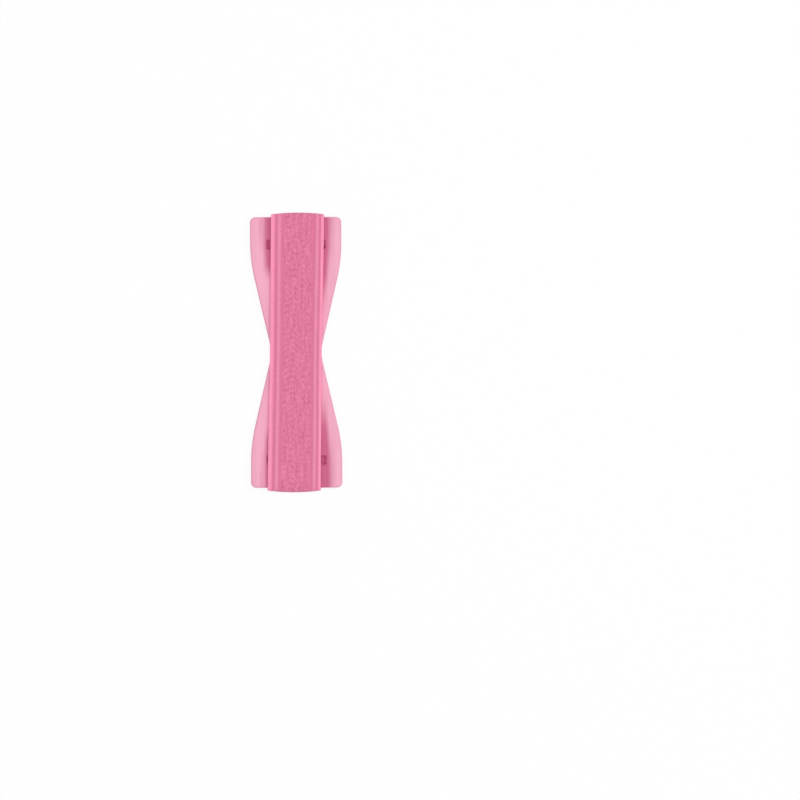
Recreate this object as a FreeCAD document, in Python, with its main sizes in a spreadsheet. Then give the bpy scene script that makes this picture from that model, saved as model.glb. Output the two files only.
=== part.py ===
import FreeCAD, Part
import math
import os
from enum import IntEnum

import Sketcher
from FreeCAD import Placement, Rotation, Vector

# Phone finger strap: a moulded hourglass plate, a ribbed elastic strap looped round
# the bars at the plate's two ends, and the adhesive pad that fixes the plate.
# +Y runs along the strap, +X across it, +Z away from the surface it is stuck to.
# The origin is the middle of the adhesive face.

# Driving dimensions, in millimetres and degrees
SIZES = {
    "plate_length": "92.0",  # over the crowned ends
    "waist_tuck": "0.4",  # how far the waist stays inside the strap's edge
    "waist_radius": "14.0",
    "shoulder_radius": "55.0",
    "end_side": "6.6",  # straight side between shoulder and corner
    "corner_radius": "1.8",
    "end_crown_radius": "400.0",
    "bar_thickness": "1.25",  # plate under the strap, at the channel floor
    "waist_dip": "0.2",  # how far the waist lies below the channel floor
    "wing_rise": "1.3",  # how far the wings stand above the channel floor
    "wing_land": "1.87",  # width of a wing outside its sloping wall
    "wall_run": "3.2",  # width of the sloping wall
    "wing_crown_radius": "8.0",  # across a wing, at the plate's end
    "channel_gap": "0.6",  # strap edge to channel wall, at the strap's nearest
    "top_bevel": "0.5",
    "under_bevel": "0.3",
    "bar_length": "8.0",  # from the slot to the plate's end
    "slot_width": "3.0",
    "slot_gap": "0.2",  # strap edge to slot end, at the strap's nearest
    "slot_corner_radius": "0.6",
    "strap_width": "18.0",
    "strap_thickness": "1.2",
    "strap_skew": "0.96",  # the strap lies a little askew in its channel
    "strap_fit": "0.05",  # clearance between strap and plate
    "strap_bevel": "0.3",
    "tail_recess": "0.25",  # strap tail below the channel floor
    "selvedge_width": "1.45",
    "border_width": "1.45",
    "rib_pitch": "1.2",
    "rib_groove_width": "0.5",
    "rib_groove_depth": "0.14",
    "selvedge_groove_width": "0.8",
    "selvedge_groove_depth": "0.28",
    "pad_thickness": "1.3",
    "pad_inset": "1.0",
    "pad_gap": "0.4",  # pad to strap
    "pad_corner_radius": "0.8",
}

# Sizes that follow from the driving ones
SKEW = "(Sizes.strap_skew * 1 deg)"
HALF_LENGTH = "(Sizes.plate_length / 2)"
CROWN_SHIFT = f"(Sizes.end_crown_radius - {HALF_LENGTH})"
STRAP_HALF = f"(Sizes.strap_width / 2 / cos({SKEW}))"
CHANNEL_HALF = f"({STRAP_HALF} + {HALF_LENGTH} * tan({SKEW}) + Sizes.channel_gap)"
WING_START = f"({CHANNEL_HALF} + Sizes.wall_run)"
END_HALF = f"({WING_START} + Sizes.wing_land)"
WAIST_HALF = "(Sizes.strap_width / 2 - Sizes.waist_tuck)"
WAIST_THICKNESS = "(Sizes.bar_thickness - Sizes.waist_dip)"
DISH_DEPTH = "(Sizes.wing_rise + Sizes.waist_dip)"
DISH_RADIUS = f"(({HALF_LENGTH} ^ 2 + {DISH_DEPTH} ^ 2) / (2 * {DISH_DEPTH}))"
CHANNEL_START = f"sqrt(2 * {DISH_RADIUS} * Sizes.waist_dip - Sizes.waist_dip ^ 2)"
SLOT_OUTER = f"({HALF_LENGTH} - Sizes.bar_length)"
SLOT_INNER = f"({SLOT_OUTER} - Sizes.slot_width)"
SLOT_HALF = f"({STRAP_HALF} + {SLOT_OUTER} * tan({SKEW}) + Sizes.slot_gap)"
LOOP_END = f"(Sizes.end_crown_radius - {CROWN_SHIFT} * cos({SKEW}))"
TAIL_WALL = f"({SLOT_OUTER} / cos({SKEW}) - Sizes.strap_width / 2 * tan({SKEW}))"
TAIL_INNER = f"({TAIL_WALL} - Sizes.strap_fit - Sizes.strap_thickness)"
TAIL_TOP = "(Sizes.bar_thickness - Sizes.tail_recess)"
SELVEDGE_START = "(Sizes.strap_width / 2 - Sizes.selvedge_width)"
FIELD_HALF = f"({SELVEDGE_START} - Sizes.border_width)"
TOP_BEVEL = f"min(Sizes.top_bevel; 0.58 * {WAIST_THICKNESS})"
UNDER_BEVEL = f"min(Sizes.under_bevel; 0.3 * {WAIST_THICKNESS})"

# The plate is cut from a blank that is larger all round
BLANK_HALF = f"({END_HALF} + Sizes.wing_land)"
BLANK_END = f"({HALF_LENGTH} + Sizes.wing_rise)"
WING_SECTIONS = 5

QUARTER_TURN = math.pi / 2

# The sketcher's own origin point
ORIGIN = (-1, 1)


class Ref(IntEnum):
    """The sketcher's numbers for its axes and for an arc's centre."""

    X_AXIS = -1
    Y_AXIS = -2
    CENTRE = 3


doc = FreeCAD.newDocument("phone_finger_strap")


def add_sheet():
    """Spreadsheet with one named cell for each driving dimension."""
    sheet = doc.addObject("Spreadsheet::Sheet", "Sizes")
    for row, (alias, number) in enumerate(SIZES.items(), start=1):
        sheet.set(f"A{row}", alias)
        sheet.set(f"B{row}", number)
        sheet.setAlias(f"B{row}", alias)
    doc.recompute()
    return sheet


sheet = add_sheet()


def value(expression):
    """Number that an expression gives on the sheet."""
    return float(sheet.evalExpression(expression))


def origin_planes(body):
    """Origin planes of a body, by their roles."""
    return {feature.Role: feature for feature in body.Origin.OriginFeatures}


class Drawing:
    """A sketch on one of its body's origin planes, with sizes bound to the sheet."""

    def __init__(self, body, name, role):
        self.sketch = body.newObject("Sketcher::SketchObject", name)
        self.sketch.AttachmentSupport = [(origin_planes(body)[role], "")]
        self.sketch.MapMode = "FlatFace"

    def shift(self, axis, expression):
        """Move the sketch along one of its own axes."""
        self.sketch.setExpression(f".AttachmentOffset.Base.{axis}", expression)

    def lean(self, expression):
        """Turn the sketch clockwise about its origin."""
        self.sketch.AttachmentOffset = Placement(Vector(), Rotation(Vector(0, 0, -1), value(expression)))
        self.sketch.setExpression(".AttachmentOffset.Rotation.Angle", expression)

    def line(self, start, end):
        """Straight edge between two points."""
        return self.sketch.addGeometry(Part.LineSegment(start, end))

    def arc(self, centre, radius, first, last):
        """Round edge, anticlockwise between two angles."""
        circle = Part.Circle(centre, Vector(0, 0, 1), radius)
        return self.sketch.addGeometry(Part.ArcOfCircle(circle, first, last))

    def end(self, edge, place):
        """Start (1) or end (2) point of an edge."""
        geometry = self.sketch.Geometry[edge]
        return geometry.StartPoint if place == 1 else geometry.EndPoint

    def nearest(self, edge, point):
        """Which end of an edge, 1 or 2, is nearer a point."""
        return min((1, 2), key=lambda place: self.end(edge, place).distanceToPoint(point))

    def join(self, first, second, kind="Tangent"):
        """Tie the ends at which two edges meet."""
        pairs = [(a, b) for a in (1, 2) for b in (1, 2)]
        gaps = {(a, b): self.end(first, a).distanceToPoint(self.end(second, b)) for a, b in pairs}
        a, b = min(gaps, key=gaps.get)
        self.rule(kind, first, a, second, b)

    def loop(self, edges, kind="Tangent"):
        """Tie a closed chain of edges."""
        for first, second in zip(edges, edges[1:] + edges[:1]):
            self.join(first, second, kind)

    def rule(self, kind, *where):
        """Constraint without a size."""
        return self.sketch.addConstraint(Sketcher.Constraint(kind, *where))

    def size(self, kind, *where, to):
        """Constraint whose size follows an expression."""
        index = self.rule(kind, *where, value(to))
        self.sketch.setExpression(f"Constraints[{index}]", to)

    def equal(self, edges):
        """Give a set of edges the same size."""
        for edge in edges[1:]:
            self.rule("Equal", edges[0], edge)

    def place(self, edge, point, across, up):
        """Hold a point of an edge at two expressions in the sketch's frame."""
        for kind, expression in (("DistanceX", across), ("DistanceY", up)):
            if value(expression) < 0:
                self.size(kind, edge, point, *ORIGIN, to=f"-({expression})")
            else:
                self.size(kind, *ORIGIN, edge, point, to=expression)

    def rectangle(self, left, right, low, high):
        """Rectangle with its four sides at expressions in the sketch's frame."""
        x0, x1, y0, y1 = (value(side) for side in (left, right, low, high))
        corners = [Vector(x0, y0, 0), Vector(x1, y0, 0), Vector(x1, y1, 0), Vector(x0, y1, 0)]
        edges = [self.line(a, b) for a, b in zip(corners, corners[1:] + corners[:1])]
        self.loop(edges, "Coincident")
        for edge in edges[0::2]:
            self.rule("Horizontal", edge)
        for edge in edges[1::2]:
            self.rule("Vertical", edge)
        self.place(edges[0], 1, left, low)
        self.place(edges[2], 1, right, high)


class Hourglass:
    """Outline of the plate, or of a shape that keeps inside it by an inset."""

    def __init__(self, inset):
        inner = value(inset)
        self.inset = inset
        self.waist_r = value("Sizes.waist_radius") + inner
        self.waist_x = value(WAIST_HALF) - inner + self.waist_r
        self.side_x = value(END_HALF) - inner
        self.shoulder_r = value("Sizes.shoulder_radius") - inner
        self.corner_r = value("Sizes.corner_radius") - inner
        self.crown_r = value("Sizes.end_crown_radius") - inner
        self.crown_y = -value(CROWN_SHIFT)
        inward = self.side_x - self.corner_r
        rise = math.sqrt((self.crown_r - self.corner_r) ** 2 - inward ** 2)
        self.corner_y = self.crown_y + rise
        self.corner_turn = math.atan2(rise, inward)
        self.shoulder_y = self.corner_y - value("Sizes.end_side")
        reach = Vector(self.side_x - self.shoulder_r - self.waist_x, self.shoulder_y, 0)
        touch = math.acos(-(self.shoulder_r + self.waist_r) / reach.Length)
        self.flank = touch - math.atan2(reach.y, reach.x)

    def waist(self, drawing, sx):
        """Hollow arc at one side of the waist."""
        middle = math.pi if sx > 0 else 0.0
        return drawing.arc(
            Vector(sx * self.waist_x, 0, 0), self.waist_r, middle - self.flank, middle + self.flank
        )

    def crown(self, drawing, sy):
        """Slightly bowed end of the plate."""
        middle = sy * QUARTER_TURN
        spread = QUARTER_TURN - self.corner_turn
        return drawing.arc(
            Vector(0, sy * self.crown_y, 0), self.crown_r, middle - spread, middle + spread
        )

    def quarter(self, drawing, sx, sy):
        """Flank, shoulder, side and corner of one quarter."""

        def point(x, y):
            return Vector(sx * x, sy * y, 0)

        def span(low, high):
            angles = [math.atan2(sy * math.sin(a), sx * math.cos(a)) for a in (low, high)]
            angles = [angle % (2 * math.pi) for angle in angles]
            return angles if sx * sy > 0 else angles[::-1]

        lean_x, lean_y = math.cos(self.flank), math.sin(self.flank)
        shoulder_x = self.side_x - self.shoulder_r
        flank_start = point(self.waist_x - self.waist_r * lean_x, self.waist_r * lean_y)
        flank_end = point(shoulder_x + self.shoulder_r * lean_x, self.shoulder_y - self.shoulder_r * lean_y)
        corner = point(self.side_x - self.corner_r, self.corner_y)
        return [
            drawing.line(flank_start, flank_end),
            drawing.arc(point(shoulder_x, self.shoulder_y), self.shoulder_r, *span(-self.flank, 0)),
            drawing.line(point(self.side_x, self.shoulder_y), point(self.side_x, self.corner_y)),
            drawing.arc(corner, self.corner_r, *span(0, self.corner_turn)),
        ]

    def draw(self, drawing):
        """Draw the whole outline and bind it to the sheet."""
        waists = {sx: self.waist(drawing, sx) for sx in (1, -1)}
        crowns = {sy: self.crown(drawing, sy) for sy in (1, -1)}
        quarters = {(sx, sy): self.quarter(drawing, sx, sy) for sx in (1, -1) for sy in (1, -1)}
        chain = [waists[1], *quarters[1, 1], crowns[1], *reversed(quarters[-1, 1]), waists[-1]]
        chain += [*quarters[-1, -1], crowns[-1], *reversed(quarters[1, -1])]
        drawing.loop(chain)

        _, shoulders, sides, corners = zip(*quarters.values())
        for alike in (list(waists.values()), list(crowns.values()), shoulders, sides, corners):
            drawing.equal(alike)
        drawing.size("Radius", waists[1], to=f"Sizes.waist_radius + {self.inset}")
        drawing.size("Radius", crowns[1], to=f"Sizes.end_crown_radius - {self.inset}")
        drawing.size("Radius", shoulders[0], to=f"Sizes.shoulder_radius - {self.inset}")
        drawing.size("Radius", corners[0], to=f"Sizes.corner_radius - {self.inset}")
        drawing.rule("PointOnObject", waists[1], Ref.CENTRE, Ref.X_AXIS)
        drawing.size("DistanceX", *ORIGIN, waists[1], Ref.CENTRE, to=f"{WAIST_HALF} + Sizes.waist_radius")
        drawing.rule("Symmetric", waists[1], Ref.CENTRE, waists[-1], Ref.CENTRE, Ref.Y_AXIS)
        drawing.rule("PointOnObject", crowns[1], Ref.CENTRE, Ref.Y_AXIS)
        drawing.size("DistanceY", crowns[1], Ref.CENTRE, *ORIGIN, to=CROWN_SHIFT)
        drawing.rule("Symmetric", crowns[1], Ref.CENTRE, crowns[-1], Ref.CENTRE, Ref.X_AXIS)
        drawing.size("DistanceY", sides[0], 1, sides[0], 2, to="Sizes.end_side")
        for (sx, _), side in zip(quarters, sides):
            drawing.rule("Vertical", side)
            ends = (*ORIGIN, side, 1) if sx > 0 else (side, 1, *ORIGIN)
            drawing.size("DistanceX", *ends, to=f"{END_HALF} - {self.inset}")


def wing_height(along):
    """Height of the dished top at a distance along the plate."""
    return f"({WAIST_THICKNESS} + {DISH_RADIUS} - sqrt({DISH_RADIUS} ^ 2 - ({along}) ^ 2))"


def waist_section(body):
    """Side view of the blank's middle, under its dished top."""
    drawing = Drawing(body, "waist_section", "YZ_Plane")
    half = value(CHANNEL_START)
    high = value("Sizes.bar_thickness")
    dish = value(DISH_RADIUS)
    spread = math.asin(half / dish)
    middle = Vector(0, value(WAIST_THICKNESS) + dish, 0)
    base = drawing.line(Vector(-half, -high, 0), Vector(half, -high, 0))
    right = drawing.line(Vector(half, -high, 0), Vector(half, high, 0))
    top = drawing.arc(middle, dish, -QUARTER_TURN - spread, -QUARTER_TURN + spread)
    left = drawing.line(Vector(-half, high, 0), Vector(-half, -high, 0))
    drawing.loop([base, right, top, left], "Coincident")
    drawing.rule("Vertical", right)
    drawing.rule("Vertical", left)
    drawing.rule("PointOnObject", top, Ref.CENTRE, Ref.Y_AXIS)
    drawing.size("Radius", top, to=DISH_RADIUS)
    drawing.place(base, 1, f"-{CHANNEL_START}", "-Sizes.bar_thickness")
    drawing.place(right, 1, CHANNEL_START, "-Sizes.bar_thickness")
    drawing.size("DistanceY", right, 1, right, 2, to="2 * Sizes.bar_thickness")
    return drawing.sketch


def sloping_wall(drawing, sx, rise):
    """Crest and root of the S-shaped wall between a wing and the channel floor."""
    floor = value("Sizes.bar_thickness")
    run = value("Sizes.wall_run")
    foot = Vector(sx * value(CHANNEL_HALF), floor, 0)
    top = foot + Vector(sx * run, rise, 0)
    if rise < 1e-6:
        middle = (foot + top) / 2
        return [drawing.line(top, middle), drawing.line(middle, foot)]
    radius = (run ** 2 + rise ** 2) / (4 * rise)
    lean = 2 * math.atan(rise / run)
    crest = (QUARTER_TURN, QUARTER_TURN + lean) if sx > 0 else (QUARTER_TURN - lean, QUARTER_TURN)
    root = (-QUARTER_TURN, lean - QUARTER_TURN) if sx > 0 else (-lean - QUARTER_TURN, -QUARTER_TURN)
    return [
        drawing.arc(top - Vector(0, radius, 0), radius, *crest),
        drawing.arc(foot + Vector(0, radius, 0), radius, *root),
    ]


def wing_crown(drawing, crest, radius, reach):
    """Round top of a wing, from its crest outwards."""
    tilt = math.asin(abs(reach) / radius)
    span = (QUARTER_TURN - tilt, QUARTER_TURN) if reach > 0 else (QUARTER_TURN, QUARTER_TURN + tilt)
    return drawing.arc(crest - Vector(0, radius, 0), radius, *span)


def wing_section(body, name, along):
    """Cross-section of the blank: channel floor, two S-shaped walls and two wings."""
    drawing = Drawing(body, name, "XZ_Plane")
    drawing.shift("z", f"-({along})")
    floor_z = value("Sizes.bar_thickness")
    floor_x = value(CHANNEL_HALF)
    wing_z = value(wing_height(along))
    wing_x = value(WING_START)
    blank = value(BLANK_HALF)
    flat = wing_z - floor_z < 1e-6
    crown = f"(Sizes.wing_crown_radius * Sizes.wing_rise / ({wing_height(along)} - Sizes.bar_thickness))"

    base = drawing.line(Vector(-blank, -floor_z, 0), Vector(blank, -floor_z, 0))
    sides, wings, walls = {}, {}, {}
    for sx in (1, -1):
        crest = Vector(sx * wing_x, wing_z, 0)
        if flat:
            wings[sx] = drawing.line(Vector(sx * blank, wing_z, 0), crest)
        else:
            wings[sx] = wing_crown(drawing, crest, value(crown), sx * (blank - wing_x))
        edge = drawing.end(wings[sx], drawing.nearest(wings[sx], Vector(2 * sx * blank, 0, 0)))
        sides[sx] = drawing.line(Vector(sx * blank, -floor_z, 0), edge)
        walls[sx] = sloping_wall(drawing, sx, wing_z - floor_z)
    floor = drawing.line(Vector(floor_x, floor_z, 0), Vector(-floor_x, floor_z, 0))
    top = [wings[1], *walls[1], floor, *reversed(walls[-1]), wings[-1]]
    for first, second in zip(top, top[1:]):
        drawing.join(first, second, "Coincident" if flat else "Tangent")
    outside = [wings[-1], sides[-1], base, sides[1], wings[1]]
    for first, second in zip(outside, outside[1:]):
        drawing.join(first, second, "Coincident")

    drawing.rule("Horizontal", base)
    drawing.place(base, 1, f"-{BLANK_HALF}", "-Sizes.bar_thickness")
    drawing.size("DistanceX", *ORIGIN, base, 2, to=BLANK_HALF)
    wall_middle = f"({CHANNEL_HALF} + Sizes.wall_run / 2)"
    for sx, sign, floor_end in ((1, "", 1), (-1, "-", 2)):
        drawing.rule("Vertical", sides[sx])
        drawing.place(floor, floor_end, f"{sign}{CHANNEL_HALF}", "Sizes.bar_thickness")
        crest_end = drawing.nearest(wings[sx], Vector(sx * wing_x, wing_z, 0))
        if flat:
            drawing.place(wings[sx], crest_end, f"{sign}{WING_START}", wing_height(along))
            drawing.rule("Horizontal", wings[sx])
            drawing.place(walls[sx][0], 2, f"{sign}{wall_middle}", "Sizes.bar_thickness")
        else:
            drawing.place(wings[sx], Ref.CENTRE, f"{sign}{WING_START}", f"{wing_height(along)} - {crown}")
            drawing.size("Radius", wings[sx], to=crown)
            ends = (*ORIGIN, wings[sx], crest_end) if sx > 0 else (wings[sx], crest_end, *ORIGIN)
            drawing.size("DistanceX", *ends, to=WING_START)
            drawing.equal(walls[sx])
    return drawing.sketch


def cut_through(body, name, drawing):
    """Cut a sketch's closed outlines right through the body."""
    pocket = body.newObject("PartDesign::Pocket", name)
    pocket.Profile = drawing.sketch
    pocket.Type = "ThroughAll"
    pocket.SideType = "Symmetric"
    doc.recompute()
    return pocket


def mirror_end(body, name, feature):
    """Repeat a feature at the far end of the body."""
    mirrored = body.newObject("PartDesign::Mirrored", name)
    mirrored.Originals = [feature]
    mirrored.MirrorPlane = (origin_planes(body)["XZ_Plane"], [""])
    body.Tip = mirrored
    doc.recompute()


def middle(edge):
    """Point half way along an edge."""
    first, last = edge.ParameterRange
    return edge.valueAt((first + last) / 2)


def edge_names(shape, wanted):
    """Names of a shape's wanted edges."""
    return [f"Edge{number}" for number, edge in enumerate(shape.Edges, start=1) if wanted(edge)]


def bevel(body, name, feature, wanted, size):
    """Bevel the wanted edges of a feature."""
    chamfer = body.newObject("PartDesign::Chamfer", name)
    chamfer.Base = (feature, edge_names(feature.Shape, wanted))
    chamfer.setExpression("Size", size)
    doc.recompute()
    return chamfer


def round_corners(body, name, feature, wanted, radius):
    """Round the wanted edges of a feature."""
    fillet = body.newObject("PartDesign::Fillet", name)
    fillet.Base = (feature, edge_names(feature.Shape, wanted))
    fillet.setExpression("Radius", radius)
    doc.recompute()
    return fillet


def upright(edge):
    """Whether an edge runs straight up."""
    first, last = edge.Vertexes[0].Point, edge.Vertexes[-1].Point
    return math.hypot(first.x - last.x, first.y - last.y) < 1e-4


def is_wall(face):
    """Whether a face stands upright."""
    u0, u1, v0, v1 = face.ParameterRange
    return abs(face.normalAt((u0 + u1) / 2, (v0 + v1) / 2).z) < 1e-4


def plate_blank(body):
    """Oversize block with the plate's dished top, wings and channel."""
    waist = body.newObject("PartDesign::Pad", "waist")
    waist.Profile = waist_section(body)
    waist.SideType = "Symmetric"
    waist.setExpression("Length", f"2 * {BLANK_HALF}")

    step = f"({BLANK_END} - {CHANNEL_START}) / {WING_SECTIONS - 1}"
    sections = [
        wing_section(body, f"wing_section_{number}", f"({CHANNEL_START} + {number} * {step})")
        for number in range(WING_SECTIONS)
    ]
    wings = body.newObject("PartDesign::AdditiveLoft", "wings")
    wings.Profile = sections[0]
    wings.Sections = sections[1:]
    doc.recompute()
    mirror_end(body, "far_wings", wings)


def at_slot(edge):
    """Whether an edge belongs to one of the slots."""
    point = middle(edge)
    along = value(SLOT_INNER) - 1e-3 < abs(point.y) < value(SLOT_OUTER) + 1e-3
    return along and abs(point.x) < value(SLOT_HALF) + 1e-3


def cut_slots(body):
    """Cut a slot with rounded corners across each end of the plate."""
    outlines = Drawing(body, "slot_outlines", "XY_Plane")
    for low, high in ((SLOT_INNER, SLOT_OUTER), (f"-{SLOT_OUTER}", f"-{SLOT_INNER}")):
        outlines.rectangle(f"-{SLOT_HALF}", SLOT_HALF, low, high)
    slots = cut_through(body, "slots", outlines)

    def at_corner(edge):
        return upright(edge) and at_slot(edge)

    return round_corners(body, "slot_rounds", slots, at_corner, "Sizes.slot_corner_radius")


def bevel_rims(body, plate):
    """Bevel the plate's top edge, then its underside and slots."""

    def at_rim(edge):
        if upright(edge) or at_slot(edge) or middle(edge).z < value(WAIST_THICKNESS) / 2:
            return False
        return any(is_wall(face) for face in plate.Shape.ancestorsOfType(edge, Part.Face))

    def at_underside_or_slot(edge):
        return abs(middle(edge).z) < 1e-4 or (at_slot(edge) and not upright(edge))

    top = bevel(body, "top_bevel", plate, at_rim, TOP_BEVEL)
    bevel(body, "under_bevel", top, at_underside_or_slot, UNDER_BEVEL)


def base_plate():
    """Hourglass plate with wings beside a channel, and a slot inside each end bar."""
    body = doc.addObject("PartDesign::Body", "base_plate")
    plate_blank(body)
    around = [f"{BLANK_HALF} + Sizes.wing_land", f"{BLANK_END} + Sizes.wing_land"]
    around = [f"-({around[0]})", around[0], f"-({around[1]})", around[1]]

    under = Drawing(body, "underside_outline", "XY_Plane")
    under.rectangle(*around)
    underside = body.newObject("PartDesign::Pocket", "underside")
    underside.Profile = under.sketch
    underside.setExpression("Length", "2 * Sizes.bar_thickness")

    outline = Drawing(body, "plate_outline", "XY_Plane")
    Hourglass("0").draw(outline)
    outline.rectangle(*around)
    cut_through(body, "outline", outline)
    bevel_rims(body, cut_slots(body))
    body.setExpression(".Placement.Base.z", "Sizes.pad_thickness")
    return body


def loop_path(body):
    """Inner face of half the strap: along the top, round the end bar and into the slot."""
    drawing = Drawing(body, "loop_path", "YZ_Plane")
    end = value(LOOP_END)
    wall = value(TAIL_WALL)
    floor = value("Sizes.bar_thickness")
    upper = value(TOP_BEVEL)
    lower = value(UNDER_BEVEL)
    fit = value("Sizes.strap_fit")
    bar_top = Vector(end - upper, floor - upper, 0)
    bar_low = Vector(end - lower, lower, 0)
    bar_slot = Vector(wall + lower, lower, 0)
    top = drawing.line(Vector(0, floor + fit, 0), Vector(bar_top.x, floor + fit, 0))
    first = drawing.arc(bar_top, upper + fit, 0, QUARTER_TURN)
    front = drawing.line(Vector(end + fit, bar_top.y, 0), Vector(end + fit, bar_low.y, 0))
    second = drawing.arc(bar_low, lower + fit, -QUARTER_TURN, 0)
    under = drawing.line(Vector(bar_low.x, -fit, 0), Vector(bar_slot.x, -fit, 0))
    third = drawing.arc(bar_slot, lower + fit, 2 * QUARTER_TURN, 3 * QUARTER_TURN)
    tail = drawing.line(Vector(wall - fit, bar_slot.y, 0), Vector(wall - fit, value(TAIL_TOP), 0))
    chain = [top, first, front, second, under, third, tail]
    for edge, after in zip(chain, chain[1:]):
        drawing.join(edge, after)
    for edge in (top, under):
        drawing.rule("Horizontal", edge)
    for edge in (front, tail):
        drawing.rule("Vertical", edge)
    drawing.rule("PointOnObject", top, 1, Ref.Y_AXIS)
    drawing.place(first, Ref.CENTRE, f"{LOOP_END} - {TOP_BEVEL}", f"Sizes.bar_thickness - {TOP_BEVEL}")
    drawing.place(third, Ref.CENTRE, f"{TAIL_WALL} + {UNDER_BEVEL}", UNDER_BEVEL)
    drawing.size("DistanceX", *ORIGIN, second, Ref.CENTRE, to=f"{LOOP_END} - {UNDER_BEVEL}")
    drawing.size("Radius", first, to=f"{TOP_BEVEL} + Sizes.strap_fit")
    drawing.size("Radius", third, to=f"{UNDER_BEVEL} + Sizes.strap_fit")
    drawing.size("DistanceY", *ORIGIN, tail, 2, to=TAIL_TOP)
    return drawing.sketch


def rib_grooves():
    """Place, half width and depth of each lengthwise groove, from right to left."""
    ribs = max(1, round(2 * value(FIELD_HALF) / value("Sizes.rib_pitch")))
    border = ("Sizes.selvedge_groove_width / 2", "Sizes.selvedge_groove_depth")
    fine = ("Sizes.rib_groove_width / 2", "Sizes.rib_groove_depth")
    field = [(f"({FIELD_HALF} * {1 - 2 * number / ribs})", *fine) for number in range(ribs + 1)]
    return [(SELVEDGE_START, *border), *field, (f"-{SELVEDGE_START}", *border)]


def ribbed_section(body):
    """Cross-section of the strap: flat inside, ribbed outside, with bevelled selvedges."""
    drawing = Drawing(body, "ribbed_section", "XZ_Plane")
    half = "Sizes.strap_width / 2"
    near = "Sizes.bar_thickness + Sizes.strap_fit"
    far = f"{near} + Sizes.strap_thickness"
    corners = [(f"-{half}", near), (half, near)]
    corners += [(half, f"{far} - Sizes.strap_bevel"), (f"{half} - Sizes.strap_bevel", far)]
    for across, width, depth in rib_grooves():
        corners += [(f"{across} + {width}", far), (across, f"{far} - {depth}"), (f"{across} - {width}", far)]
    corners += [(f"-({half} - Sizes.strap_bevel)", far), (f"-{half}", f"{far} - Sizes.strap_bevel")]
    points = [Vector(value(across), value(up), 0) for across, up in corners]
    edges = [drawing.line(a, b) for a, b in zip(points, points[1:] + points[:1])]
    drawing.loop(edges, "Coincident")
    for edge, corner in zip(edges, corners):
        drawing.place(edge, 1, *corner)
    return drawing.sketch


def elastic_strap():
    """Ribbed band over the plate, looped round each end bar into its slot."""
    body = doc.addObject("PartDesign::Body", "elastic_strap")
    half = body.newObject("PartDesign::AdditivePipe", "half_loop")
    half.Profile = ribbed_section(body)
    half.Spine = (loop_path(body), [""])
    doc.recompute()
    mirror_end(body, "far_half_loop", half)
    body.Placement = Placement(Vector(), Rotation(Vector(0, 0, -1), value("Sizes.strap_skew")))
    body.setExpression(".Placement.Rotation.Angle", SKEW)
    body.setExpression(".Placement.Base.z", "Sizes.pad_thickness")
    return body


def adhesive_pad():
    """Die-cut foam pad under the plate, with notches that follow the strap."""
    body = doc.addObject("PartDesign::Body", "adhesive_pad")
    outline = Drawing(body, "pad_outline", "XY_Plane")
    Hourglass("Sizes.pad_inset").draw(outline)
    slab = body.newObject("PartDesign::Pad", "slab")
    slab.Profile = outline.sketch
    slab.setExpression("Length", "Sizes.pad_thickness")

    notch = Drawing(body, "notch_outlines", "XY_Plane")
    notch.lean(SKEW)
    half = "(Sizes.strap_width / 2 + Sizes.pad_gap)"
    inner = f"({TAIL_INNER} - Sizes.pad_gap)"
    notch.rectangle(f"-{half}", half, inner, BLANK_END)
    notch.rectangle(f"-{half}", half, f"-{BLANK_END}", f"-{inner}")
    cut = cut_through(body, "notches", notch)
    to_strap = Rotation(Vector(0, 0, 1), value(SKEW))

    def at_notch(edge):
        across = to_strap.multVec(middle(edge)).x
        return upright(edge) and abs(abs(across) - value(half)) < 1e-3

    round_corners(body, "notch_rounds", cut, at_notch, "Sizes.pad_corner_radius")
    return body


def check(parts):
    """Stop if any object is in error or any part has no sound shape."""
    for item in doc.Objects:
        faults = {"Invalid", "Error"} & set(item.State)
        if faults:
            raise RuntimeError(f"{item.Label}: {faults}")
    for part in parts:
        if part.Shape.isNull() or not part.Shape.isValid():
            raise RuntimeError(f"{part.Label}: no sound shape")


def main():
    """Build the sub-parts and write one file for each."""
    parts = [base_plate(), elastic_strap(), adhesive_pad()]
    doc.recompute()
    check(parts)
    os.makedirs("parts", exist_ok=True)
    for part in parts:
        part.Shape.exportStep(f"parts/{part.Label}.step")


main()
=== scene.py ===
"""Looks of the phone finger strap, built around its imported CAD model.

The moulded plate and the adhesive pad keep their CAD meshes and get their finishes
here. The strap is modelled again as a woven elastic band: a grid is thickened and
wrapped along the loop over the plate, round both end bars and into the slots.
"""

import logging
import math
from dataclasses import dataclass, field, replace
from enum import Enum
from typing import Any

import bmesh
import bpy
from mathutils import Matrix, Vector

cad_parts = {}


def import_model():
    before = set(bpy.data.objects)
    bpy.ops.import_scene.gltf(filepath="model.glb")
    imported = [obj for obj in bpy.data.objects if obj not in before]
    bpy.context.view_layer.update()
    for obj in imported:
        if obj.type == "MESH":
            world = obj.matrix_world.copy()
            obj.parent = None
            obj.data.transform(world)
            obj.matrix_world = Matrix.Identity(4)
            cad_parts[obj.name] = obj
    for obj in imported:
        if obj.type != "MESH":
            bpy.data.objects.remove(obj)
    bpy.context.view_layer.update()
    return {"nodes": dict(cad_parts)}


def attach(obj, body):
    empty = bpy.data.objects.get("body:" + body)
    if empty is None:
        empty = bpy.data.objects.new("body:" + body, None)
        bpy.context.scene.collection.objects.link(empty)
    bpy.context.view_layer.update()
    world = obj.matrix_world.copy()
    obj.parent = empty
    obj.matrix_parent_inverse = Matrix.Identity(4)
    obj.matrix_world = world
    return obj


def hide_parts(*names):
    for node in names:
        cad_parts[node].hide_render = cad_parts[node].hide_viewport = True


MM = 0.001
WHITE = "#FFFFFF"
IMAGE_SIZE = 800
BAND_WIDTH = 18.0
ROOT_BODY = "root"

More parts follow.
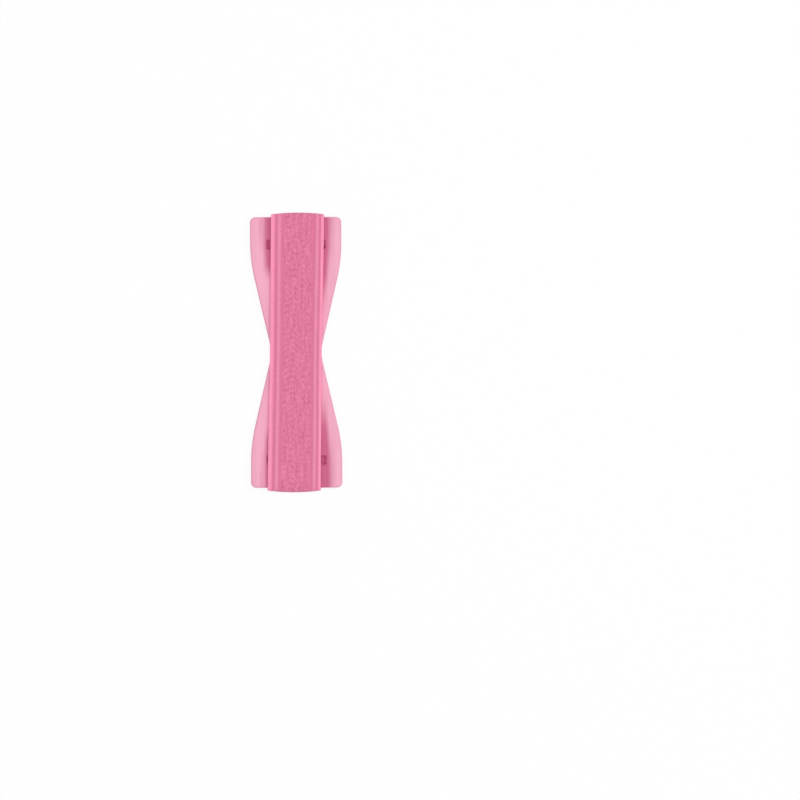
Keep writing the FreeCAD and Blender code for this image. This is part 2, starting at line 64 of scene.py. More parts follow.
log = logging.getLogger("finger_strap")


class CadNode(Enum):
    """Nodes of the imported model."""

    PLATE = "base_plate"
    STRAP = "elastic_strap"
    PAD = "adhesive_pad"


def linear(hex_colour: str) -> tuple[float, float, float, float]:
    """Turn an sRGB hex colour to linear values.

    Args:
        hex_colour: colour written as "#RRGGBB".

    Returns:
        Red, green, blue and a full alpha.
    """
    channels = [int(hex_colour[i:i + 2], 16) / 255 for i in (1, 3, 5)]
    values = [c / 12.92 if c <= 0.04045 else ((c + 0.055) / 1.055) ** 2.4 for c in channels]
    return (*values, 1.0)


def smoothstep(low: float, high: float, value: float) -> float:
    """Ease from 0 at low to 1 at high.

    Args:
        low: value at which the result leaves 0.
        high: value at which the result reaches 1.
        value: value to ease.

    Returns:
        A number from 0 to 1.
    """
    t = min(max((value - low) / (high - low), 0.0), 1.0)
    return t * t * (3 - 2 * t)


def add_node(
    tree: bpy.types.NodeTree,
    kind: str,
    settings: dict[str, Any] | None = None,
    inputs: dict[str | int, Any] | None = None,
) -> bpy.types.Node:
    """Add a node with its settings and its links.

    Args:
        tree: node tree that takes the node.
        kind: the node's type name.
        settings: properties to set on the node.
        inputs: values for its inputs, where a socket is linked and anything else is set.

    Returns:
        The new node.
    """
    node = tree.nodes.new(kind)
    for name, value in (settings or {}).items():
        setattr(node, name, value)
    for key, value in (inputs or {}).items():
        if isinstance(value, bpy.types.NodeSocket):
            tree.links.new(value, node.inputs[key])
        else:
            node.inputs[key].default_value = value
    return node


def set_ramp(node: bpy.types.Node, stops: list[tuple[float, str]]) -> None:
    """Give a colour ramp its stops.

    Args:
        node: colour ramp node.
        stops: place and sRGB hex colour of each stop, in order.
    """
    elements = node.color_ramp.elements
    while len(elements) < len(stops):
        elements.new(1.0)
    for element, (place, colour) in zip(elements, stops):
        element.position = place
        element.color = linear(colour)


def new_material(name: str) -> tuple[bpy.types.Material, bpy.types.NodeTree, bpy.types.Node]:
    """Start a material from its shader.

    Args:
        name: the material's name.

    Returns:
        The material, its node tree and its principled shader.
    """
    material = bpy.data.materials.new(name)
    material.use_nodes = True
    tree = material.node_tree
    return material, tree, tree.nodes["Principled BSDF"]


@dataclass(frozen=True)
class MouldedAbs:
    """Injection-moulded ABS from a lightly spark-eroded tool.

    It gives the eye an even pastel pink with a soft satin gloss, a painted shade that
    deepens the pink down in the channels beside the strap, a faint cloudiness where the
    melt flowed, and a very fine grain that breaks up the highlights.
    """

    name: str = "moulded_abs_satin"
    colour: str = "#EFA6BF"
    cloud_colour: str = "#ECA0BA"
    cloud_size: float = 9.0 * MM
    cloud_detail: float = 3.0
    cloud_span: tuple[float, float] = (0.35, 0.65)
    # The channel's painted shade leans a little and narrows towards the waist. It fades out
    # between two distances across the plate and two along it, which differ on its two sides,
    # and between two heights on the wings' walls
    painted_channel_shade_colour: str = "#C6547F"
    channel_middle: tuple[float, float, float] = (0.08 * MM, 0.0, 0.0)
    channel_lean: float = 0.05
    channel_left: tuple[float, float] = (9.5 * MM, 12.1 * MM)
    channel_right: tuple[float, float] = (10.2 * MM, 12.2 * MM)
    channel_run: tuple[float, float] = (20.0 * MM, 36.0 * MM)
    channel_narrowing: float = 1.1
    channel_end_left: tuple[float, float] = (23.5 * MM, 30.5 * MM)
    channel_end_right: tuple[float, float] = (12.0 * MM, 28.0 * MM)
    channel_floor: tuple[float, float] = (2.2 * MM, 2.4 * MM)
    # Spark-eroded grain is nearer 0.05 mm and is drawn coarser, so that it shows
    grain_size: float = 0.35 * MM
    grain_detail: float = 2.0
    grain_height: float = 0.012 * MM
    grain_strength: float = 0.5
    roughness: tuple[float, float] = (0.36, 0.46)
    ior: float = 1.53

    def painted_channel_shade_share(
        self, tree: bpy.types.NodeTree, place: bpy.types.NodeSocket
    ) -> bpy.types.NodeSocket:
        """Work out how much of the channel's painted shade shows at a place.

        Args:
            tree: the material's node tree.
            place: the place on the plate.

        Returns:
            A share that is 1 along the channel's middle and 0 outside the channel.
        """
        turned = add_node(
            tree,
            "ShaderNodeMapping",
            inputs={
                "Vector": place,
                "Location": tuple(-shift for shift in self.channel_middle),
                "Rotation": (0, 0, -math.radians(self.channel_lean)),
            },
        )
        axes = add_node(tree, "ShaderNodeSeparateXYZ", inputs={"Vector": turned.outputs["Vector"]})
        along = add_node(tree, "ShaderNodeMath", {"operation": "ABSOLUTE"}, {0: axes.outputs["Y"]})
        narrow = add_node(
            tree,
            "ShaderNodeMapRange",
            inputs={
                "Value": along.outputs[0],
                "From Min": self.channel_run[0],
                "From Max": self.channel_run[1],
                "To Min": self.channel_narrowing,
                "To Max": 1.0,
            },
        )
        across = add_node(
            tree,
            "ShaderNodeMath",
            {"operation": "MULTIPLY"},
            {0: axes.outputs["X"], 1: narrow.outputs["Result"]},
        )
        ends = [
            add_node(
                tree,
                "ShaderNodeMapRange",
                inputs={
                    "Value": axes.outputs["X"],
                    "From Min": -self.channel_left[0],
                    "From Max": self.channel_left[0],
                    "To Min": left,
                    "To Max": right,
                },
            ).outputs["Result"]
            for left, right in zip(self.channel_end_left, self.channel_end_right)
        ]
        limits = [
            (across.outputs[0], -self.channel_left[1], -self.channel_left[0]),
            (across.outputs[0], self.channel_right[1], self.channel_right[0]),
            (along.outputs[0], *ends),
            (axes.outputs["Z"], *self.channel_floor),
        ]
        share: Any = 1.0
        for value, none, full in limits:
            part = add_node(
                tree,
                "ShaderNodeMapRange",
                {"interpolation_type": "SMOOTHSTEP"},
                {"Value": value, "From Min": none, "From Max": full},
            )
            share = add_node(
                tree, "ShaderNodeMath", {"operation": "MULTIPLY"}, {0: share, 1: part.outputs["Result"]}
            ).outputs[0]
        return share

    def material(self) -> bpy.types.Material:
        """Make the material.

        Returns:
            Satin pink plastic with cloudiness, grain and painted shade in the channels.
        """
        material, tree, shader = new_material(self.name)
        place = add_node(tree, "ShaderNodeTexCoord").outputs["Object"]
        cloud = add_node(
            tree,
            "ShaderNodeTexNoise",
            inputs={"Vector": place, "Scale": 1 / self.cloud_size, "Detail": self.cloud_detail},
        )
        grain = add_node(
            tree,
            "ShaderNodeTexNoise",
            inputs={"Vector": place, "Scale": 1 / self.grain_size, "Detail": self.grain_detail},
        )
        tint = add_node(tree, "ShaderNodeValToRGB", inputs={"Fac": cloud.outputs["Fac"]})
        set_ramp(tint, list(zip(self.cloud_span, (self.cloud_colour, self.colour))))
        # The cloudy pink turns to the darker pink of the painted shade along the channels
        tone = add_node(
            tree,
            "ShaderNodeMix",
            {"data_type": "RGBA"},
            {
                0: self.painted_channel_shade_share(tree, place),
                6: tint.outputs["Color"],
                7: linear(self.painted_channel_shade_colour),
            },
        )
        rough = add_node(
            tree,
            "ShaderNodeMapRange",
            inputs={
                "Value": cloud.outputs["Fac"],
                "To Min": self.roughness[0],
                "To Max": self.roughness[1],
            },
        )
        bump = add_node(
            tree,
            "ShaderNodeBump",
            inputs={
                "Height": grain.outputs["Fac"],
                "Distance": self.grain_height,
                "Strength": self.grain_strength,
            },
        )
        tree.links.new(tone.outputs[2], shader.inputs["Base Color"])
        tree.links.new(rough.outputs["Result"], shader.inputs["Roughness"])
        tree.links.new(bump.outputs["Normal"], shader.inputs["Normal"])
        shader.inputs["IOR"].default_value = self.ior
        return material


@dataclass(frozen=True)
class FoamTape:
    """Die-cut acrylic foam tape.

    It gives the eye a dead-matt dusky rose with small open cells on the cut edge and a
    slightly uneven tone.
    """

    name: str = "acrylic_foam_tape"
    colour: str = "#DA6893"
    shade_colour: str = "#CF5E88"
    cell_size: float = 0.4 * MM
    cell_depth: float = 0.05 * MM
    cell_strength: float = 0.8
    tone_size: float = 5.0 * MM
    tone_detail: float = 4.0
    tone_span: tuple[float, float] = (0.3, 0.7)
    roughness: float = 0.85

    def material(self) -> bpy.types.Material:
        """Make the material.

        Returns:
            Matt rose foam with fine cells.
        """
        material, tree, shader = new_material(self.name)
        place = add_node(tree, "ShaderNodeTexCoord").outputs["Object"]
        tone = add_node(
            tree,
            "ShaderNodeTexNoise",
            inputs={"Vector": place, "Scale": 1 / self.tone_size, "Detail": self.tone_detail},
        )
        cells = add_node(
            tree, "ShaderNodeTexVoronoi", inputs={"Vector": place, "Scale": 1 / self.cell_size}
        )
        tint = add_node(tree, "ShaderNodeValToRGB", inputs={"Fac": tone.outputs["Fac"]})
        set_ramp(tint, list(zip(self.tone_span, (self.shade_colour, self.colour))))
        bump = add_node(
            tree,
            "ShaderNodeBump",
            inputs={
                "Height": cells.outputs["Distance"],
                "Distance": self.cell_depth,
                "Strength": self.cell_strength,
            },
        )
        tree.links.new(tint.outputs["Color"], shader.inputs["Base Color"])
        tree.links.new(bump.outputs["Normal"], shader.inputs["Normal"])
        shader.inputs["Roughness"].default_value = self.roughness
        return material


@dataclass(frozen=True)
class WovenElastic:
    """Woven polyester over rubber cores.

    It gives the eye a matt pink field of small alternating thread floats with paler
    flecks, lighter smooth cords along both selvedges, and a soft sheen.
    """

    name: str = "woven_polyester_elastic"
    field_colour: str = "#DF7599"
    deep_colour: str = "#D6688F"
    pale_colour: str = "#E682A5"
    line_colour: str = "#DC7397"
    rib_colour: str = "#EC8BAC"
    groove_colour: str = "#DC7398"
    cord_colour: str = "#FC95B9"
    width: float = BAND_WIDTH * MM
    # The borders are woven a little to one side, so that one of them is wider than the other
    border_shift: float = 0.3 * MM
    field_end: tuple[float, float] = (4.6 * MM, 5.0 * MM)
    # Places of the colour bands on each side, in millimetres from the strap's middle line
    left_bands: tuple[float, ...] = (4.45, 4.85, 5.15, 5.9, 6.25, 6.85, 7.25, 8.15)
    right_bands: tuple[float, ...] = (5.25, 5.6, 5.95, 6.65, 7.0, 7.5, 7.75, 8.25)
    # Single threads are finer than a pixel and are drawn coarser, so that they show
    warp_pitch: float = 0.61 * MM
    float_pitch: float = 1.9 * MM
    float_height: float = 0.05 * MM
    float_strength: float = 0.8
    float_tone: float = 0.25
    fleck_size: float = 1.1 * MM
    fleck_detail: float = 3.0
    fleck_strength: float = 0.05
    streak_size: float = 0.75 * MM
    streak_detail: float = 2.0
    streak_stretch: float = 0.12
    mottle_span: float = 0.3
    roughness: float = 0.8
    sheen: float = 0.15
    sheen_roughness: float = 0.5
    uv_name: str = "weave"

    def band_colours(self) -> list[tuple[float, str]]:
        """Colour stops from the left selvedge to the right one.

        Returns:
            Place from 0 to 1 and colour of each stop.
        """
        tones = [self.field_colour, self.line_colour, self.line_colour, self.rib_colour]
        tones += [self.rib_colour, self.groove_colour, self.groove_colour, self.cord_colour]
        stops = [(-place * MM, tone) for place, tone in zip(self.left_bands, tones)][::-1]
        stops += [(place * MM, tone) for place, tone in zip(self.right_bands, tones)]
        return [(0.5 + place / self.width, tone) for place, tone in stops]

    def thread_floats(
        self, tree: bpy.types.NodeTree, across: bpy.types.NodeSocket, along: bpy.types.NodeSocket
    ) -> bpy.types.NodeSocket:
        """Raise each warp thread where it floats over the weft, at places of its own.

        Args:
            tree: the material's node tree.
            across: distance from the strap's middle line.
            along: distance along the strap.

        Returns:
            The threads' height, from 0 to 1.
        """
        thread = add_node(
            tree, "ShaderNodeMath", {"operation": "DIVIDE"}, {0: across, 1: self.warp_pitch}
        )
        number = add_node(tree, "ShaderNodeMath", {"operation": "FLOOR"}, {0: thread.outputs[0]})
        chance = add_node(
            tree, "ShaderNodeTexWhiteNoise", {"noise_dimensions": "1D"}, {"W": number.outputs[0]}
        )
        start = add_node(
            tree, "ShaderNodeMath", {"operation": "MULTIPLY"}, {0: chance.outputs["Value"], 1: math.tau}
        )
        crown = add_node(
            tree, "ShaderNodeMath", {"operation": "MULTIPLY"}, {0: thread.outputs[0], 1: math.pi}
        )
        crown = add_node(tree, "ShaderNodeMath", {"operation": "SINE"}, {0: crown.outputs[0]})
        crown = add_node(tree, "ShaderNodeMath", {"operation": "ABSOLUTE"}, {0: crown.outputs[0]})
        turn = add_node(
            tree,
            "ShaderNodeMath",
            {"operation": "MULTIPLY_ADD"},
            {0: along, 1: math.tau / self.float_pitch, 2: start.outputs[0]},
        )
        rise = add_node(tree, "ShaderNodeMath", {"operation": "SINE"}, {0: turn.outputs[0]})
        # The sine's span of -1 to 1 becomes a height of 0 to 1
        rise = add_node(
            tree, "ShaderNodeMath", {"operation": "MULTIPLY_ADD"}, {0: rise.outputs[0], 1: 0.5, 2: 0.5}
        )
        return add_node(
            tree, "ShaderNodeMath", {"operation": "MULTIPLY"}, {0: crown.outputs[0], 1: rise.outputs[0]}
        ).outputs[0]

    def pale_share(
        self, tree: bpy.types.NodeTree, place: bpy.types.NodeSocket, floats: bpy.types.NodeSocket
    ) -> bpy.types.NodeSocket:
        """Mottle the field with flecks, streaks and the threads' floats.

        Args:
            tree: the material's node tree.
            place: the place on the strap's own map.
            floats: the threads' height.

        Returns:
            The share of the paler tone, from 0 to 1.
        """
        fleck = add_node(
            tree,
            "ShaderNodeTexNoise",
            inputs={"Vector": place, "Scale": 1 / self.fleck_size, "Detail": self.fleck_detail},
        )
        drawn = add_node(
            tree,
            "ShaderNodeMapping",
            inputs={"Vector": place, "Scale": (1.0, self.streak_stretch, 1.0)},
        )
        streak = add_node(
            tree,
            "ShaderNodeTexNoise",
            inputs={
                "Vector": drawn.outputs["Vector"],
                "Scale": 1 / self.streak_size,
                "Detail": self.streak_detail,
            },
        )
        mottle = add_node(
            tree,
            "ShaderNodeMath",
            {"operation": "ADD"},
            {0: fleck.outputs["Fac"], 1: streak.outputs["Fac"]},
        )
        mottle = add_node(
            tree,
            "ShaderNodeMath",
            {"operation": "MULTIPLY_ADD"},
            {0: floats, 1: self.float_tone, 2: mottle.outputs[0]},
        )
        # The noises add up to about 1 and the floats come to 1 / pi, on average
        even = 1 + self.float_tone / math.pi
        return add_node(
            tree,
            "ShaderNodeMapRange",
            inputs={
                "Value": mottle.outputs[0],
                "From Min": even - self.mottle_span,
                "From Max": even + self.mottle_span,
            },
        ).outputs["Result"]

    def material(self) -> bpy.types.Material:
        """Make the material.

        Returns:
            Woven pink elastic, drawn along the strap's own map.
        """
        material, tree, shader = new_material(self.name)
        place = add_node(tree, "ShaderNodeUVMap", {"uv_map": self.uv_name}).outputs["UV"]
        axes = add_node(tree, "ShaderNodeSeparateXYZ", inputs={"Vector": place})
        across, along = axes.outputs["X"], axes.outputs["Y"]

        middle = add_node(
            tree, "ShaderNodeMath", {"operation": "SUBTRACT"}, {0: across, 1: self.border_shift}
        )
        middle = add_node(tree, "ShaderNodeMath", {"operation": "ABSOLUTE"}, {0: middle.outputs[0]})
        share = add_node(
            tree,
            "ShaderNodeMath",
            {"operation": "MULTIPLY_ADD"},
            {0: across, 1: 1 / self.width, 2: 0.5},
        )
        bands = add_node(tree, "ShaderNodeValToRGB", inputs={"Fac": share.outputs[0]})
        set_ramp(bands, self.band_colours())

        floats = self.thread_floats(tree, across, along)
        pale = self.pale_share(tree, place, floats)
        field_tone = add_node(
            tree,
            "ShaderNodeMix",
            {"data_type": "RGBA"},
            {0: pale, 6: linear(self.deep_colour), 7: linear(self.pale_colour)},
        )
        border = add_node(
            tree,
            "ShaderNodeMapRange",
            inputs={
                "Value": middle.outputs[0],
                "From Min": self.field_end[0],
                "From Max": self.field_end[1],
            },
        )
        tone = add_node(
            tree,
            "ShaderNodeMix",
            {"data_type": "RGBA"},
            {0: border.outputs["Result"], 6: field_tone.outputs[2], 7: bands.outputs["Color"]},
        )
        light = add_node(
            tree,
            "ShaderNodeMapRange",
            inputs={
                "Value": pale,
                "To Min": 1 - self.fleck_strength,
                "To Max": 1 + self.fleck_strength,
            },
        )
        shaded = add_node(
            tree,
            "ShaderNodeVectorMath",
            {"operation": "SCALE"},
            {0: tone.outputs[2], "Scale": light.outputs["Result"]},
        )
        bump = add_node(
            tree,
            "ShaderNodeBump",
            inputs={
                "Height": floats,
                "Distance": self.float_height,
                "Strength": self.float_strength,
            },
        )
        tree.links.new(shaded.outputs[0], shader.inputs["Base Color"])
        tree.links.new(bump.outputs["Normal"], shader.inputs["Normal"])
        shader.inputs["Roughness"].default_value = self.roughness
        shader.inputs["Sheen Weight"].default_value = self.sheen
        shader.inputs["Sheen Roughness"].default_value = self.sheen_roughness
        return material


@dataclass(frozen=True)
class Station:
    """One place along the strap's inner face, seen from the side, in millimetres.

    The run is the distance along the outer face from the strap's middle.
    """

    along: float
    up: float
    out_along: float
    out_up: float
    run: float = 0.0

    def point(self, height: float) -> tuple[float, float]:
        """Place along and up at a height over the inner face."""
        return self.along + self.out_along * height, self.up + self.out_up * height


@dataclass
class ElasticStrap:
    """Woven band over the plate, looped round the end bars, in millimetres."""

    name: str = "woven_strap"
    slot: str = "woven_elastic"
    width: float = BAND_WIDTH
    thickness: float = 1.2
    skew: float = 0.96
    side_shift: float = -0.1
    # The loop follows the plate's bars and slots, clear of them by the fit
    underside: float = 1.3
    bar_thickness: float = 1.25
    fit: float = 0.05
    loop_end: float = 46.05
    tail_wall: float = 37.854
    tail_top: float = 1.0
    top_bend: float = 0.5
    under_bend: float = 0.3
    quarter_turns: int = 6
    # Seen from above, each bar's end is an arc whose centre lies past the part's middle, and
    # the band takes up that curve between two distances along
    crown_radius: float = 400.0
    crown_shift: float = 354.0
    crown_reach: tuple[float, float] = (40.0, 45.5)
    # As it turns round a bar, the band bulges in its middle and thins at its selvedges
    end_bulge: float = 0.1
    edge_thinning: float = 0.4
    waist_narrowing: float = 0.45
    waist_reach: float = 24.0
    edge_radius: float = 0.35
    edge_turn: float = 80.0
    edge_steps: int = 6
    # Middle, half width and depth of the grooves along the borders
    border_groove: tuple[float, float, float] = (7.33, 0.5, 0.12)
    field_groove: tuple[float, float, float] = (5.4, 0.35, 0.07)
    rib_pitch: float = 1.22
    rib_depth: float = 0.05
    rib_fullness: float = 0.7
    thread_depth: float = 0.03
    column_step: float = 0.1
    row_step: float = 1.5
    arc_steps: int = 8
    crease_angle: float = 60.0
    finish: WovenElastic = field(default_factory=WovenElastic)

    def half_path(self) -> list[Station]:
        """Inner face from the middle of the strap to the tail at its far end.

        Returns:
            Stations in order along the strap.
        """
        stations: list[Station] = []

        def add(along: float, up: float, angle: float) -> None:
            """Add a station.

            Args:
                along: its place along the strap.
                up: its height.
                angle: its outward direction, from level.
            """
            station = Station(along, up, math.cos(angle), math.sin(angle))
            if stations:
                last = stations[-1]
                step = math.dist(last.point(self.thickness), station.point(self.thickness))
                station = replace(station, run=last.run + step)
            stations.append(station)

        def bend(along: float, up: float, radius: float, start: float) -> None:
            """Add a clockwise quarter turn.

            Args:
                along: its centre's place along the strap.
                up: its centre's height.
                radius: its radius.
                start: the angle at which it starts, in degrees.
            """
            for step in range(self.arc_steps + 1):
                angle = math.radians(start - 90 * step / self.arc_steps)
                add(along + radius * math.cos(angle), up + radius * math.sin(angle), angle)

        floor = self.underside + self.bar_thickness
        upper, lower = self.top_bend, self.under_bend
        straight = self.loop_end - upper
        rows = round(straight / self.row_step)
        for row in range(rows):
            add(straight * row / rows, floor + self.fit, math.pi / 2)
        bend(straight, floor - upper, upper + self.fit, 90)
        bend(self.loop_end - lower, self.underside + lower, lower + self.fit, 0)
        bend(self.tail_wall + lower, self.underside + lower, lower + self.fit, -90)
        add(self.tail_wall - self.fit, self.underside + self.tail_top, -math.pi)
        return stations

    def path(self) -> list[Station]:
        """Inner face from one tail to the other.

        Returns:
            Stations in order along the whole strap.
        """
        half = self.half_path()
        near = [Station(-s.along, s.up, -s.out_along, s.out_up, -s.run) for s in reversed(half[1:])]
        return near + half

    def columns(self) -> list[tuple[float, float, float]]:
        """Cross-section of the band.

        Returns:
            Place across, outer height and inner height of each column of the grid.
        """
        flat = self.width / 2 - self.edge_radius
        count = round(2 * flat / self.column_step)
        inner = [-flat + 2 * flat * n / count for n in range(count + 1)]
        section = [(x, self.thickness - self.relief(x), 0.0) for x in inner]
        steps = [
            math.radians(self.edge_turn * n / self.edge_steps) for n in range(1, self.edge_steps + 1)
        ]
        edge = [
            (flat + self.edge_radius * math.sin(a), self.edge_radius * (1 - math.cos(a))) for a in steps
        ]
        right = [(x, self.thickness - drop, drop) for x, drop in edge]
        left = [(-x, top, low) for x, top, low in reversed(right)]
        return left + section + right

    def relief(self, across: float) -> float:
        """Depth of the grooves at a place across the strap.

        Args:
            across: distance from the middle line.

        Returns:
            Depth below the tops of the ribs.
        """
        place = abs(across - self.finish.border_shift / MM)
        depth = 0.0
        for centre, half, deep in (self.border_groove, self.field_groove):
            if abs(place - centre) < half:
                depth = max(depth, deep * math.cos(math.pi / 2 * (place - centre) / half) ** 2)
        if place < self.field_groove[0]:
            rib = 1 - abs(math.sin(math.pi * place / self.rib_pitch)) ** self.rib_fullness
            thread = 1 - abs(math.sin(2 * math.pi * place / self.rib_pitch)) ** self.rib_fullness
            depth = max(depth, self.rib_depth * rib + self.thread_depth * thread)
        return depth

    def end_shift(self, across: float) -> float:
        """How far the crowned bar end falls back at a place across the strap.

        Args:
            across: distance from the strap's middle line.

        Returns:
            Shift along the strap, zero or below.
        """
        lean = self.crown_shift * math.sin(math.radians(self.skew))
        return math.sqrt(self.crown_radius ** 2 - (across - lean) ** 2) - self.crown_radius

    def wrap(self, station: Station, across: float, height: float) -> Vector:
        """Place of a point of the band.

        Args:
            station: where the point is along the strap.
            across: distance from the middle line.
            height: distance out from the inner face.

        Returns:
            The point in metres, in the part's frame.
        """
        fullness = 1 + self.end_bulge - self.edge_thinning * (2 * across / self.width) ** 2
        along = station.along + station.out_along * height * fullness
        up = station.up + station.out_up * height
        side = math.copysign(1.0, along)
        reach = smoothstep(*self.crown_reach, abs(station.along))
        along += side * reach * self.end_shift(side * across)
        narrow = 1 - self.waist_narrowing / self.width * math.exp(-(along / self.waist_reach) ** 2)
        place = Vector((across * narrow + self.side_shift, along, up))
        return Matrix.Rotation(-math.radians(self.skew), 3, "Z") @ place * MM

    def build(self) -> bpy.types.Object:
        """Model the band.

        Returns:
            The strap's object, at the origin.
        """
        rows, columns = self.path(), self.columns()
        # The grid spans -1 to 1 both ways, and its two layers only have to lie apart until
        # each point is wrapped along the loop
        mesh_data = bmesh.new()
        bmesh.ops.create_grid(
            mesh_data, x_segments=len(columns) - 1, y_segments=len(rows) - 1, size=1.0
        )
        bmesh.ops.solidify(mesh_data, geom=mesh_data.faces[:], thickness=0.5)
        middle = sum(v.co.z for v in mesh_data.verts) / len(mesh_data.verts)
        weave = mesh_data.loops.layers.uv.new(self.finish.uv_name)
        places: dict[bmesh.types.BMVert, tuple[float, float]] = {}
        for vert in mesh_data.verts:
            across, outer, inner = columns[round((vert.co.x + 1) / 2 * (len(columns) - 1))]
            station = rows[round((vert.co.y + 1) / 2 * (len(rows) - 1))]
            height = outer if vert.co.z > middle else inner
            places[vert] = (across * MM, station.run * MM)
            vert.co = self.wrap(station, across, height)
        for face in mesh_data.faces:
            face.smooth = True
            for loop in face.loops:
                loop[weave].uv = places[loop.vert]
        for edge in mesh_data.edges:
            edge.smooth = edge.calc_face_angle(0.0) < math.radians(self.crease_angle)
        # Thickening adds the rim's faces in no set order, so all faces are sorted by their corners
        mesh_data.verts.index_update()
        count = len(mesh_data.verts)
        mesh_data.faces.sort(
            key=lambda face: min(v.index for v in face.verts) * count + max(v.index for v in face.verts)
        )
        mesh = bpy.data.meshes.new(self.name)
        mesh_data.to_mesh(mesh)
        mesh_data.free()
        strap = bpy.data.objects.new(self.name, mesh)
        bpy.context.scene.collection.objects.link(strap)
        return strap

    def flat_length(self) -> float:
        """Measure the band along the middle of its thickness.

        Returns:
            Length from tail to tail, in metres.
        """
        rows = self.path()
        turns = self.quarter_turns * math.pi / 2
        return (rows[-1].run - rows[0].run - turns * self.thickness / 2) * MM

    def dress(self, strap: bpy.types.Object) -> None:
        """Give the band its finish and tie it to the part.

        Args:
            strap: the strap's object.
        """
        strap.data.materials.append(self.finish.material())
        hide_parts(CadNode.STRAP.value)
        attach(strap, ROOT_BODY)
        self.flat_length()


@dataclass
class RigidPart:
    """CAD node that keeps its mesh and gets a finish."""

    node: CadNode
    finish: MouldedAbs | FoamTape

    def dress(self, nodes: dict[str, bpy.types.Object]) -> None:
        """Give the node its finish.

        Args:
            nodes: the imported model's objects by name.
        """
        materials = nodes[self.node.value].data.materials
        materials.clear()
        materials.append(self.finish.material())


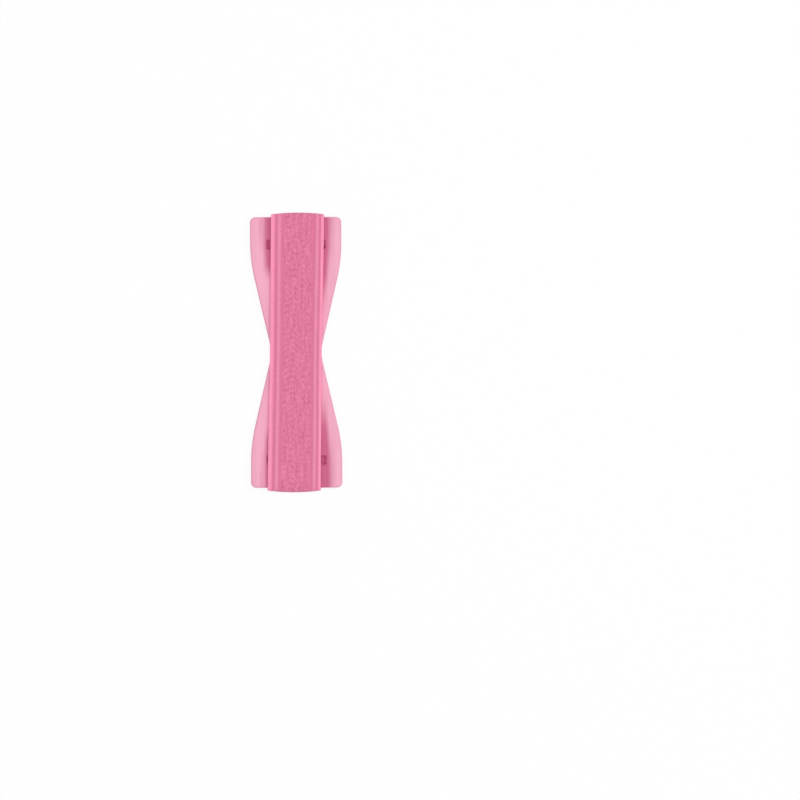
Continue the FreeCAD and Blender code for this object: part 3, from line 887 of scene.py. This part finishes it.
@dataclass
class Studio:
    """White floor, soft lights and camera."""

    # Metres per pixel, the part's origin in pixels and the camera's turn in degrees
    scale: float = 0.3382 * MM
    centre: tuple[float, float] = (296.1, 352.4)
    roll: float = 0.25
    lens: float = 265.0
    sensor: float = 36.0
    clip_end: float = 10.0
    eye_level: float = 3.6 * MM
    floor_size: float = 3.0
    floor_drop: float = 0.02 * MM
    floor_colour: str = "#FAFAFA"
    floor_roughness: float = 0.9
    white_share: float = 0.9
    # Below the slots the floor is painted with the part's pink shade and a dim painted pink glow in
    # place of its white
    slot_reach: tuple[float, float] = (10.6 * MM, 2.2 * MM)
    slot_place: float = 36.5 * MM
    painted_slot_shade: str = "#E07CA6"
    painted_slot_glow: str = "#B44E7B"
    world_strength: float = 0.64
    top_place: tuple[float, float, float] = (0.0, 0.0, 0.9)
    top_size: float = 1.0
    top_power: float = 1.9
    key_place: tuple[float, float, float] = (0.42, 0.15, 1.0)
    key_size: float = 0.8
    key_power: float = 3.1

    def camera(self) -> None:
        """Set the camera straight above, framed as the picture is."""
        data = bpy.data.cameras.new("camera")
        data.sensor_width = self.sensor
        data.lens = self.lens
        data.clip_end = self.clip_end
        camera = bpy.data.objects.new("camera", data)
        bpy.context.scene.collection.objects.link(camera)
        distance = IMAGE_SIZE * self.scale * self.lens / self.sensor
        turn = -math.radians(self.roll)
        right = (IMAGE_SIZE / 2 - self.centre[0]) * self.scale
        down = (IMAGE_SIZE / 2 - self.centre[1]) * self.scale
        aim = Matrix.Rotation(turn, 3, "Z") @ Vector((right, -down, 0))
        camera.location = aim + Vector((0, 0, self.eye_level + distance))
        camera.rotation_euler = (0, 0, turn)
        bpy.context.scene.camera = camera

    def lights(self) -> None:
        """Light the part with a white world, a softbox above it and a key light from the right."""
        world = bpy.data.worlds.new("studio")
        world.use_nodes = True
        back = world.node_tree.nodes["Background"]
        back.inputs["Color"].default_value = linear(WHITE)
        back.inputs["Strength"].default_value = self.world_strength
        bpy.context.scene.world = world
        self.lamp("softbox", self.top_place, self.top_size, self.top_power)
        self.lamp("key", self.key_place, self.key_size, self.key_power)

    def lamp(self, name: str, place: tuple[float, float, float], size: float, power: float) -> None:
        """Hang a square lamp that faces the part.

        Args:
            name: the lamp's name.
            place: where it hangs, in metres.
            size: its side, in metres.
            power: its power in watts.
        """
        data = bpy.data.lights.new(name, "AREA")
        data.size = size
        data.energy = power
        lamp = bpy.data.objects.new(name, data)
        lamp.location = place
        lamp.rotation_euler = Vector(place).to_track_quat("Z", "Y").to_euler()
        bpy.context.scene.collection.objects.link(lamp)

    def floor(self) -> None:
        """Lay the white floor."""
        mesh_data = bmesh.new()
        bmesh.ops.create_grid(
            mesh_data,
            x_segments=1,
            y_segments=1,
            size=self.floor_size,
            matrix=Matrix.Translation((0, 0, -self.floor_drop)),
        )
        mesh = bpy.data.meshes.new("floor")
        mesh_data.to_mesh(mesh)
        mesh_data.free()
        mesh.materials.append(self.paper())
        floor = bpy.data.objects.new("floor", mesh)
        bpy.context.scene.collection.objects.link(floor)

    def paper(self) -> bpy.types.Material:
        """Make the floor's white paper, which shows as white and keeps a soft shadow.

        Below the slots it takes a painted pink shade and a dim painted pink glow.

        Returns:
            The floor's material.
        """
        material, tree, shader = new_material("white_paper")
        shader.inputs["Roughness"].default_value = self.floor_roughness
        shader.inputs["Specular IOR Level"].default_value = 0.0
        ray = add_node(tree, "ShaderNodeLightPath")
        seen = ray.outputs["Is Camera Ray"]
        for kind in ("Is Glossy Ray", "Is Transmission Ray"):
            seen = add_node(
                tree, "ShaderNodeMath", {"operation": "MAXIMUM"}, {0: seen, 1: ray.outputs[kind]}
            ).outputs[0]
        place = add_node(tree, "ShaderNodeTexCoord").outputs["Object"]
        axes = add_node(tree, "ShaderNodeSeparateXYZ", inputs={"Vector": place})
        outside = []
        for axis, middle, reach in zip(("X", "Y"), (0.0, self.slot_place), self.slot_reach):
            size = add_node(tree, "ShaderNodeMath", {"operation": "ABSOLUTE"}, {0: axes.outputs[axis]})
            away = add_node(
                tree, "ShaderNodeMath", {"operation": "SUBTRACT"}, {0: size.outputs[0], 1: middle}
            )
            away = add_node(tree, "ShaderNodeMath", {"operation": "ABSOLUTE"}, {0: away.outputs[0]})
            past = add_node(
                tree, "ShaderNodeMath", {"operation": "GREATER_THAN"}, {0: away.outputs[0], 1: reach}
            )
            outside.append(past.outputs[0])
        clear = add_node(tree, "ShaderNodeMath", {"operation": "MAXIMUM"}, dict(enumerate(outside)))
        # Painted pink shade in place of the floor's white below the slots
        tone = add_node(
            tree,
            "ShaderNodeMix",
            {"data_type": "RGBA"},
            {0: clear.outputs[0], 6: linear(self.painted_slot_shade), 7: linear(self.floor_colour)},
        )
        tree.links.new(tone.outputs[2], shader.inputs["Base Color"])
        share = add_node(
            tree, "ShaderNodeMath", {"operation": "MULTIPLY"}, {0: seen, 1: self.white_share}
        )
        # Painted pink glow in place of the floor's white glow below the slots
        shine = add_node(
            tree,
            "ShaderNodeMix",
            {"data_type": "RGBA"},
            {0: clear.outputs[0], 6: linear(self.painted_slot_glow), 7: linear(WHITE)},
        )
        glow = add_node(
            tree, "ShaderNodeEmission", inputs={"Color": shine.outputs[2], "Strength": 1.0}
        )
        mix = add_node(
            tree,
            "ShaderNodeMixShader",
            inputs={0: share.outputs[0], 1: shader.outputs["BSDF"], 2: glow.outputs["Emission"]},
        )
        tree.links.new(mix.outputs["Shader"], tree.nodes["Material Output"].inputs["Surface"])
        return material


def main() -> None:
    """Build and dress the part, then light and frame it."""
    logging.basicConfig(level=logging.INFO)
    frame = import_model()
    bpy.context.scene.view_settings.view_transform = "Standard"

    for part in (RigidPart(CadNode.PLATE, MouldedAbs()), RigidPart(CadNode.PAD, FoamTape())):
        part.dress(frame["nodes"])
        log.info("dressed %s in %s", part.node.value, part.finish.name)

    band = ElasticStrap()
    strap = band.build()
    band.dress(strap)
    log.info("built %s with %d faces", strap.name, len(strap.data.polygons))

    studio = Studio()
    studio.floor()
    studio.lights()
    studio.camera()
    log.info("set the floor, lights and camera")


if __name__ == "__main__":
    main()
